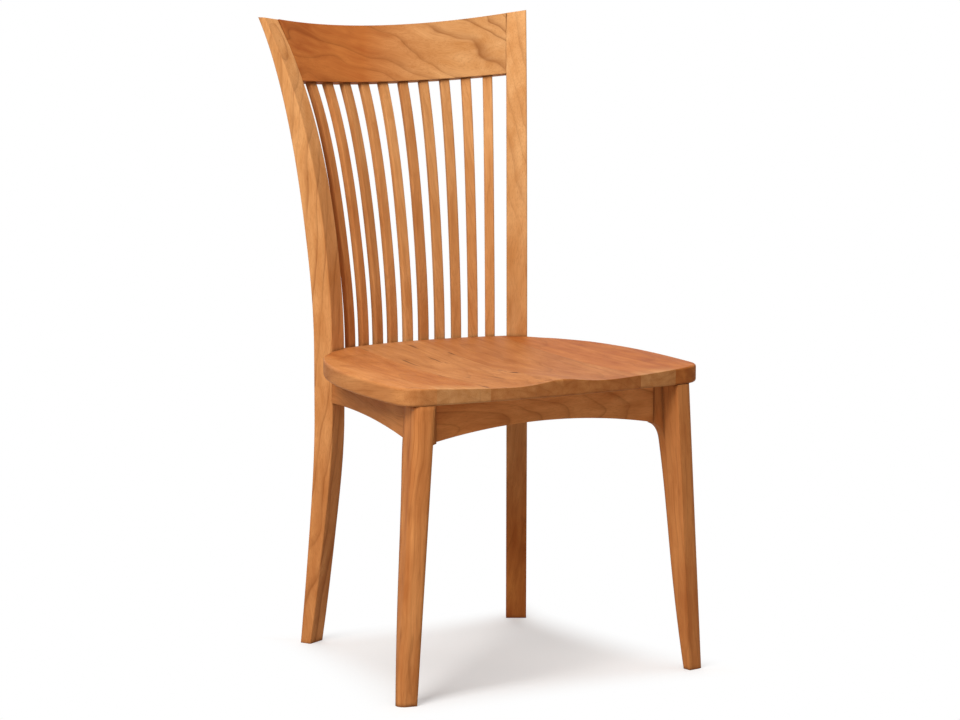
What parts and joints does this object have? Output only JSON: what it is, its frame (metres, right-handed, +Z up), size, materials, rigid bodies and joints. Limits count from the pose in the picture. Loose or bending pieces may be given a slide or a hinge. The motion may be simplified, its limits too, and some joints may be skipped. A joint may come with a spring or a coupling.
{
  "type": "side chair",
  "caption": "Solid-wood side chair with a carved saddle seat, a fan of bent back slats under a curved crest rail, swept back posts and slim kneed front legs.",
  "frame": {"origin": "middle of the footprint, on the floor", "axes": "+Z up, the chair faces -Y, +X is to the right for someone who looks at its front"},
  "size_m": [0.5126, 0.582, 0.961],
  "materials": {
    "back_slat_01": "oiled satin cherry",
    "back_slat_02": "oiled satin cherry",
    "back_slat_03": "oiled satin cherry",
    "back_slat_04": "oiled satin cherry",
    "back_slat_05": "oiled satin cherry",
    "back_slat_06": "oiled satin cherry",
    "back_slat_07": "oiled satin cherry",
    "back_slat_08": "oiled satin cherry",
    "back_slat_09": "oiled satin cherry",
    "back_slat_10": "oiled satin cherry",
    "cleat_screws": "zinc-plated",
    "crest_dowels": "raw beech dowel",
    "crest_rail": "oiled satin cherry",
    "frame_dowels": "raw beech dowel",
    "front_apron": "oiled satin cherry",
    "left_back_post": "oiled satin cherry",
    "left_corner_block": "unfinished cherry",
    "left_front_leg": "oiled satin cherry",
    "left_seat_cleat": "unfinished cherry",
    "left_side_rail": "oiled satin cherry",
    "rear_seat_rail": "oiled satin cherry",
    "right_back_post": "oiled satin cherry",
    "right_corner_block": "unfinished cherry",
    "right_front_leg": "oiled satin cherry",
    "right_seat_cleat": "unfinished cherry",
    "right_side_rail": "oiled satin cherry",
    "seat_screws": "zinc-plated",
    "seat_stave_1": "oiled satin cherry",
    "seat_stave_2": "oiled satin cherry",
    "seat_stave_3": "oiled satin cherry",
    "seat_stave_4": "oiled satin cherry",
    "seat_stave_5": "oiled satin cherry"
  },
  "bodies": {
    "root": {"back_slat_01": "back_slat_01", "back_slat_02": "back_slat_02", "back_slat_03": "back_slat_03", "back_slat_04": "back_slat_04", "back_slat_05": "back_slat_05", "back_slat_06": "back_slat_06", "back_slat_07": "back_slat_07", "back_slat_08": "back_slat_08", "back_slat_09": "back_slat_09", "back_slat_10": "back_slat_10", "cleat_screws": "cleat_screws", "crest_dowels": "crest_dowels", "crest_rail": "crest_rail", "frame_dowels": "frame_dowels", "front_apron": "front_apron", "left_back_post": "left_back_post", "left_corner_block": "left_corner_block", "left_front_leg": "left_front_leg", "left_seat_cleat": "left_seat_cleat", "left_side_rail": "left_side_rail", "rear_seat_rail": "rear_seat_rail", "right_back_post": "right_back_post", "right_corner_block": "right_corner_block", "right_front_leg": "right_front_leg", "right_seat_cleat": "right_seat_cleat", "right_side_rail": "right_side_rail", "seat_screws": "seat_screws", "seat_stave_1": "seat_stave_1", "seat_stave_2": "seat_stave_2", "seat_stave_3": "seat_stave_3", "seat_stave_4": "seat_stave_4", "seat_stave_5": "seat_stave_5"}
  },
  "joints": []
}
